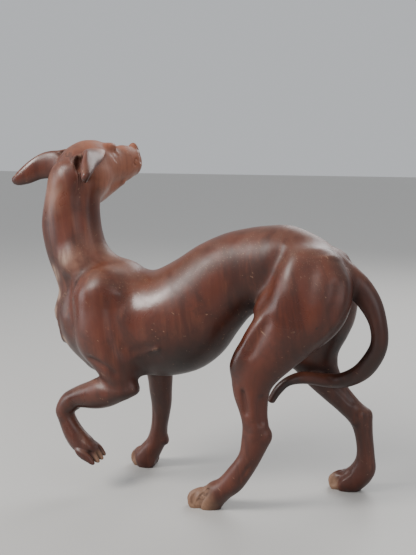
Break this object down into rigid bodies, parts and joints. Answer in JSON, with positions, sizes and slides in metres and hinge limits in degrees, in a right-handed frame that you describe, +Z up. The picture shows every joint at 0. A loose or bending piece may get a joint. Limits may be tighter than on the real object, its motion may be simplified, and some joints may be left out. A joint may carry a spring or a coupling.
{
  "type": "wooden greyhound sculpture",
  "caption": "Free-standing carved wooden greyhound, walking with one forepaw raised, head turned back and tail curled forward between its hind legs.",
  "frame": {"origin": "middle of the bounding box's footprint, on the floor plane that the soles stand on", "axes": "+Z up, +X from the chest towards the tail, so the dog walks towards -X; +Y towards its right side"},
  "size_m": [0.6994, 0.2414, 0.6223],
  "materials": {
    "carved_wood": "satin-polished reddish-brown hardwood with worn paws"
  },
  "bodies": {
    "root": {"greyhound": "carved_wood"}
  },
  "joints": []
}
